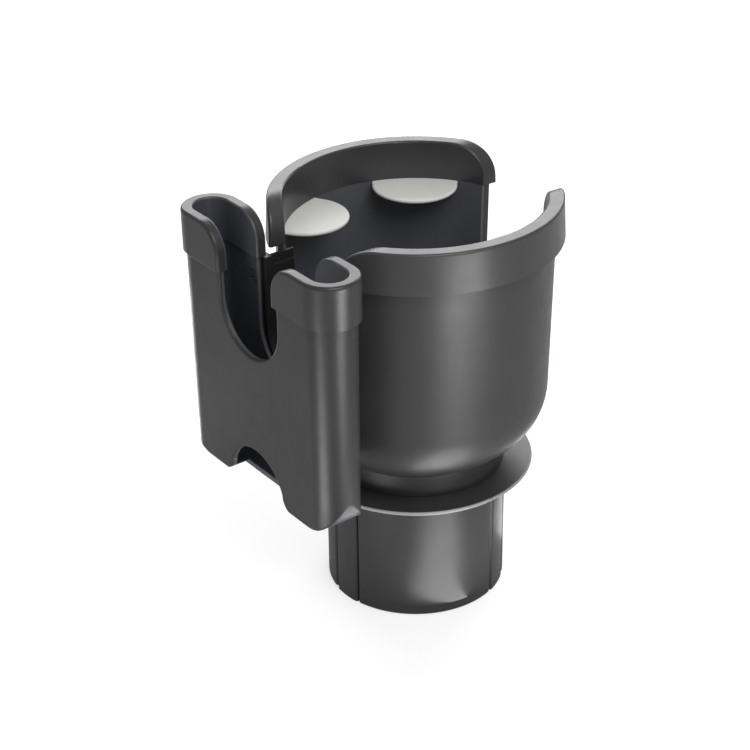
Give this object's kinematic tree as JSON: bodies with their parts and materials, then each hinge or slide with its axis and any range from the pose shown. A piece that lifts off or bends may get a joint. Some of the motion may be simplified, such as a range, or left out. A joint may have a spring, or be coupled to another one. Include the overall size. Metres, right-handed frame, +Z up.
{
  "type": "car cup holder",
  "caption": "Cup holder expander for a car: an expanding base plug carries a wide open cup with handle slots, soft grip tabs and a lift-off phone pocket.",
  "frame": {"origin": "on the cup's axis at the foot of the base plug", "axes": "+Z up along the cup's axis; the phone pocket hangs on the -X side and its wide faces look along X"},
  "size_m": [0.1282, 0.11, 0.1636],
  "materials": {
    "body_plastic": "satin moulded dark grey",
    "rim_plastic": "satin dark grey trim",
    "black_liner": "satin blue-black",
    "grip_rubber": "soft light grey rubber",
    "steel": "zinc-plated steel"
  },
  "bodies": {
    "base": {"base_core": "body_plastic", "base_cover": "body_plastic", "cover_screws": "steel", "pivot_bolt": "steel", "pivot_washer": "steel", "spring_washer": "steel", "pivot_nut": "steel"},
    "adjuster": {"adjusting_disc": "body_plastic"},
    "jaw_1": {"expanding_jaw_1": "body_plastic"},
    "jaw_2": {"expanding_jaw_2": "body_plastic"},
    "jaw_3": {"expanding_jaw_3": "body_plastic"},
    "cup": {"cup_bowl": "body_plastic", "cup_liner": "black_liner", "cup_rim_back": "rim_plastic", "cup_rim_front": "rim_plastic", "grip_tab_root_1": "grip_rubber", "grip_tab_root_2": "grip_rubber", "grip_tab_root_3": "grip_rubber", "grip_tab_root_4": "grip_rubber"},
    "tab_1": {"grip_tab_leaf_1": "grip_rubber"},
    "tab_2": {"grip_tab_leaf_2": "grip_rubber"},
    "tab_3": {"grip_tab_leaf_3": "grip_rubber"},
    "tab_4": {"grip_tab_leaf_4": "grip_rubber"},
    "pocket": {"pocket_shell": "body_plastic", "pocket_rim_left": "rim_plastic", "pocket_rim_right": "rim_plastic", "pocket_bracket": "body_plastic", "bracket_screws": "steel"}
  },
  "joints": [
    {"name": "disc_turn", "type": "hinge", "parent": "base", "child": "adjuster", "pos_m": [0, 0, 0.0516], "axis": [0, 0, 1], "range_deg": [0, 90]},
    {"name": "jaw_slide_1", "type": "slide", "parent": "base", "child": "jaw_1", "axis": [-0.4924, -0.8704, 0], "range_m": [0, 0.006]},
    {"name": "jaw_slide_2", "type": "slide", "parent": "base", "child": "jaw_2", "axis": [1, 0.0087, 0], "range_m": [0, 0.006]},
    {"name": "jaw_slide_3", "type": "slide", "parent": "base", "child": "jaw_3", "axis": [-0.5075, 0.8616, 0], "range_m": [0, 0.006]},
    {"name": "cup_swivel", "type": "hinge", "parent": "base", "child": "cup", "pos_m": [0, 0, 0.0542], "axis": [0, 0, 1], "continuous": true},
    {"name": "tab_bend_1", "type": "hinge", "parent": "cup", "child": "tab_1", "pos_m": [0.02758, 0.03594, 0.1467], "axis": [0.7934, -0.6088, 0], "range_deg": [0, 80], "stiffness_Nm_per_rad": 0.01},
    {"name": "tab_bend_2", "type": "hinge", "parent": "cup", "child": "tab_2", "pos_m": [-0.02533, 0.03755, 0.1467], "axis": [0.829, 0.5592, 0], "range_deg": [0, 80], "stiffness_Nm_per_rad": 0.01},
    {"name": "tab_bend_3", "type": "hinge", "parent": "cup", "child": "tab_3", "pos_m": [-0.02533, -0.03755, 0.1467], "axis": [-0.829, 0.5592, 0], "range_deg": [0, 80], "stiffness_Nm_per_rad": 0.01},
    {"name": "tab_bend_4", "type": "hinge", "parent": "cup", "child": "tab_4", "pos_m": [0.01986, -0.04071, 0.1467], "axis": [-0.8988, -0.4384, 0], "range_deg": [0, 80], "stiffness_Nm_per_rad": 0.01},
    {"name": "pocket_lift", "type": "slide", "parent": "cup", "child": "pocket", "axis": [0, 0, 1], "range_m": [0, 0.07]}
  ],
  "couplings": [
    {"joint": "jaw_slide_1", "follows": "disc_turn", "m_per_rad": 0.0038197},
    {"joint": "jaw_slide_2", "follows": "disc_turn", "m_per_rad": 0.0038197},
    {"joint": "jaw_slide_3", "follows": "disc_turn", "m_per_rad": 0.0038197}
  ]
}
